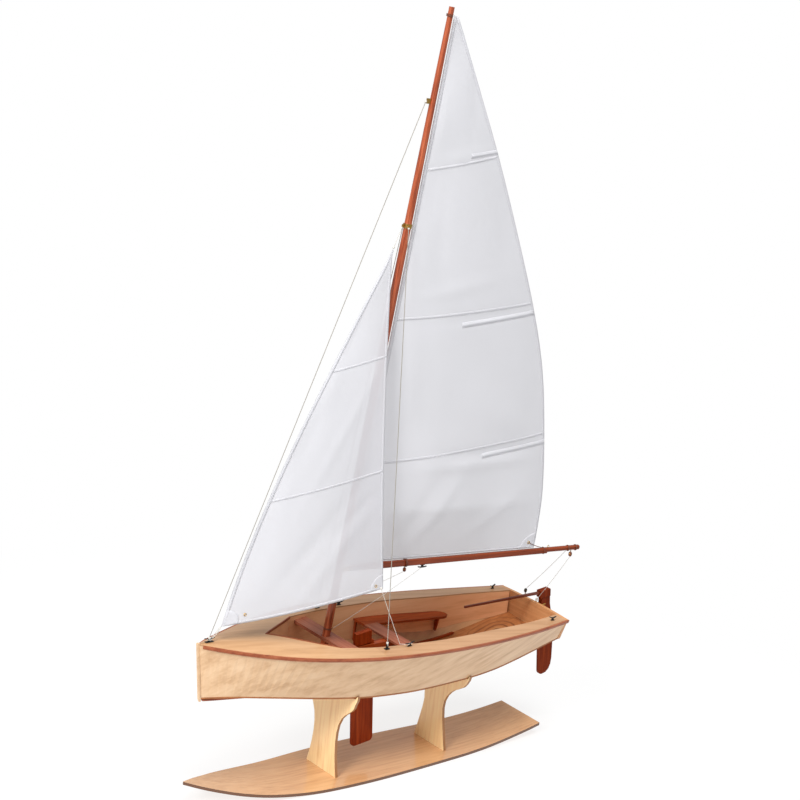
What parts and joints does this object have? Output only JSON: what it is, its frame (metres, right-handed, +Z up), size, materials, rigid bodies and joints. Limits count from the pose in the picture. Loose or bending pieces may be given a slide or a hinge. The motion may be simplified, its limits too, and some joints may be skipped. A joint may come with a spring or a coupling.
{
  "type": "sailing dinghy display model",
  "caption": "Wooden display model of a hard-chine two-person sailing dinghy with mainsail, jib, daggerboard and rudder, on a boat-shaped plywood stand.",
  "frame": {"origin": "underside of the base board, on the centreline, below the middle of the hull", "axes": "+X to the bow, +Y to port, +Z up"},
  "size_m": [0.4496, 0.1478, 0.7335],
  "materials": {
    "base_ply": "clear gloss varnish",
    "leg_ply": "satin varnish",
    "hull_ply": "satin varnish",
    "deck_ply": "satin varnish",
    "cockpit_wood": "satin varnish",
    "strake_wood": "satin varnish",
    "coaming_wood": "satin varnish",
    "thwart_wood": "satin varnish",
    "bench_wood": "satin varnish",
    "foil_wood": "gloss varnish",
    "spar_wood": "gloss varnish",
    "brass": "polished",
    "stay_thread": "twisted thread",
    "black_fittings": "painted black",
    "sailcloth": "plain weave"
  },
  "bodies": {
    "hull": {"base_board": "base_ply", "stand_leg_front": "leg_ply", "stand_leg_rear": "leg_ply", "bottom_panel": "hull_ply", "side_panel_port": "hull_ply", "side_panel_starboard": "hull_ply", "cockpit_lining_port": "cockpit_wood", "cockpit_lining_starboard": "cockpit_wood", "chine_stringer_port": "bench_wood", "chine_stringer_starboard": "bench_wood", "transom_board": "hull_ply", "stem_post": "hull_ply", "keel_strip": "strake_wood", "foredeck": "deck_ply", "side_deck_port": "deck_ply", "side_deck_starboard": "deck_ply", "rubbing_strake_port": "strake_wood", "rubbing_strake_starboard": "strake_wood", "coaming_port": "coaming_wood", "coaming_starboard": "coaming_wood", "mast_thwart": "thwart_wood", "centre_thwart": "thwart_wood", "side_bench_port": "bench_wood", "side_bench_starboard": "bench_wood", "bench_legs": "bench_wood", "mast_step": "cockpit_wood", "daggerboard_case": "bench_wood", "rudder_gudgeons": "brass", "mast": "spar_wood", "mast_band": "brass", "forestay_tang": "brass", "forestay": "stay_thread", "shroud_port": "stay_thread", "shroud_starboard": "stay_thread", "chainplates": "black_fittings", "stem_head_fitting": "black_fittings", "gooseneck": "brass", "jib": "sailcloth", "deck_cleats": "black_fittings"},
    "boom_and_sail": {"boom": "spar_wood", "boom_end_fitting": "brass", "mainsail": "sailcloth"},
    "rudder": {"rudder_head": "foil_wood", "rudder_blade": "foil_wood", "rudder_pintles": "brass", "tiller": "foil_wood"},
    "centre_board": {"daggerboard": "foil_wood"}
  },
  "joints": [
    {"name": "boom_swing", "type": "hinge", "parent": "hull", "child": "boom_and_sail", "pos_m": [0.05383, 0, 0.20797], "axis": [-0.1087, 0, 0.9941], "range_deg": [-41, 59]},
    {"name": "rudder_turn", "type": "hinge", "parent": "hull", "child": "rudder", "pos_m": [-0.205, 0, 0.1324], "axis": [0.0872, 0, 0.9962], "range_deg": [-35, 35]},
    {"name": "daggerboard_lift", "type": "slide", "parent": "hull", "child": "centre_board", "axis": [0.1149, 0, 0.9934], "range_m": [0, 0.058]}
  ]
}
